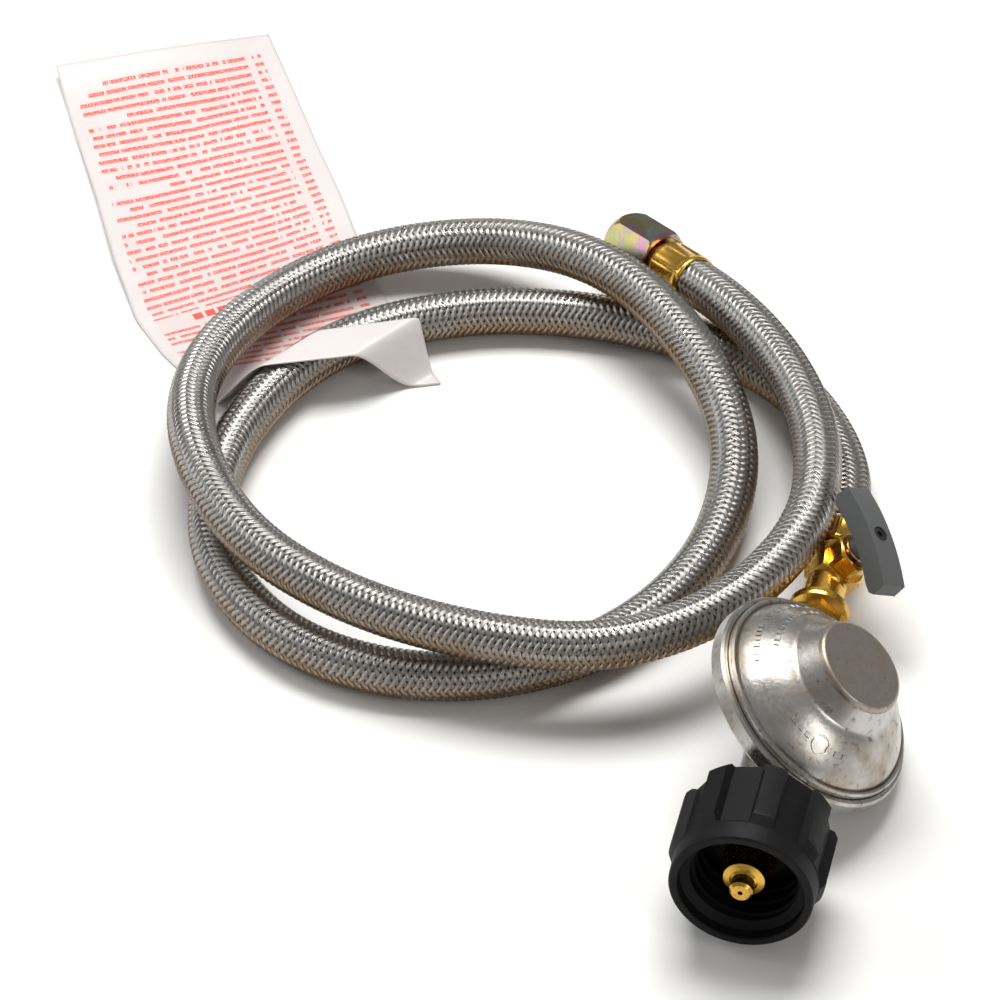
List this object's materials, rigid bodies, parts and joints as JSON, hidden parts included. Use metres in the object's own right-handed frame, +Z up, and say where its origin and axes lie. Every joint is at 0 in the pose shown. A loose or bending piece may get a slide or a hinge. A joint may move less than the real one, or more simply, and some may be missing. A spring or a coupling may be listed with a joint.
{
  "type": "propane regulator hose",
  "caption": "Low-pressure gas regulator with a hand-tightened cylinder coupling, a needle valve and a coiled braided hose ending in a flare nut and a printed tag.",
  "frame": {"origin": "on the floor under the middle of the regulator and valve, without the hose", "axes": "+Z up; -Y towards the mouth of the coupling nut; +X towards the side that the dome leans to"},
  "size_m": [0.3513, 0.3847, 0.0571],
  "materials": {
    "black_plastic": "moulded matte black",
    "bushing_plastic": "moulded",
    "brass": "machined",
    "cast_alloy": "satin die cast",
    "spring_steel": "plated",
    "zinc_plate": "yellow zinc plate",
    "grey_plastic": "moulded grey",
    "inner_plastic": "moulded",
    "rubber": "nitrile",
    "steel_braid": "woven stainless wire over a rubber tube",
    "label": "printed vinyl"
  },
  "bodies": {
    "regulator": {"body_casting": "cast_alloy", "bonnet": "cast_alloy", "tower_cap": "cast_alloy", "adjusting_screw": "inner_plastic", "main_spring": "spring_steel", "diaphragm": "rubber", "lever_pin": "spring_steel", "orifice": "brass", "inlet_nipple": "brass", "nipple_ring": "spring_steel", "excess_flow_spring": "spring_steel", "thermal_bushing": "bushing_plastic", "valve_body": "brass", "valve_gland": "brass", "stem_packing": "rubber", "hose_barb": "brass", "ferrule_valve_end": "brass", "hose": "steel_braid", "ferrule_far_end": "brass", "flare_stem": "brass", "tag": "label"},
    "coupling": {"coupling_nut": "black_plastic"},
    "far_nut": {"flare_nut": "zinc_plate"},
    "stem_carrier": {"stem_clip": "spring_steel"},
    "stem": {"valve_stem": "brass", "handle": "grey_plastic", "handle_screw": "spring_steel"},
    "pusher": {"diaphragm_plate": "spring_steel", "pusher_post": "inner_plastic"},
    "rocker": {"rocker_lever": "spring_steel"},
    "seat": {"seat_holder": "inner_plastic", "seat_disc": "rubber"},
    "flow_check": {"excess_flow_poppet": "brass"}
  },
  "joints": [
    {"name": "coupling_spin", "type": "hinge", "parent": "regulator", "child": "coupling", "pos_m": [-0.0058, -0.06745, 0.0253], "axis": [0, -0.9969, 0.0785], "continuous": true},
    {"name": "flare_nut_spin", "type": "hinge", "parent": "regulator", "child": "far_nut", "pos_m": [-0.09442, 0.2015, 0.0147], "axis": [-0.7472, 0.6305, -0.2102], "continuous": true},
    {"name": "stem_rise", "type": "slide", "parent": "regulator", "child": "stem_carrier", "axis": [0.6157, 0.0618, 0.7856], "range_m": [0, 0.002]},
    {"name": "handle_turn", "type": "hinge", "parent": "stem_carrier", "child": "stem", "pos_m": [-0.0058, 0.06564, 0.01483], "axis": [0.6157, 0.0618, 0.7856], "range_deg": [0, 720]},
    {"name": "diaphragm_lift", "type": "slide", "parent": "regulator", "child": "pusher", "axis": [0.6157, 0.0618, 0.7856], "range_m": [0, 0.0012], "deforming": ["main_spring"]},
    {"name": "rocker_tilt", "type": "hinge", "parent": "regulator", "child": "rocker", "pos_m": [-0.00826, -0.01287, 0.01785], "axis": [0.788, -0.0483, -0.6138], "range_deg": [0, 9]},
    {"name": "seat_travel", "type": "slide", "parent": "regulator", "child": "seat", "axis": [0, 0.9969, -0.0785], "range_m": [-0.0009, 0]},
    {"name": "flow_check_slide", "type": "slide", "parent": "regulator", "child": "flow_check", "axis": [0, 0.9969, -0.0785], "range_m": [0, 0.003], "deforming": ["excess_flow_spring"]}
  ],
  "couplings": [
    {"joint": "stem_rise", "follows": "handle_turn", "m_per_rad": 0.00015915},
    {"joint": "rocker_tilt", "follows": "diaphragm_lift", "rad_per_m": 130},
    {"joint": "seat_travel", "follows": "diaphragm_lift", "ratio": -0.667}
  ]
}
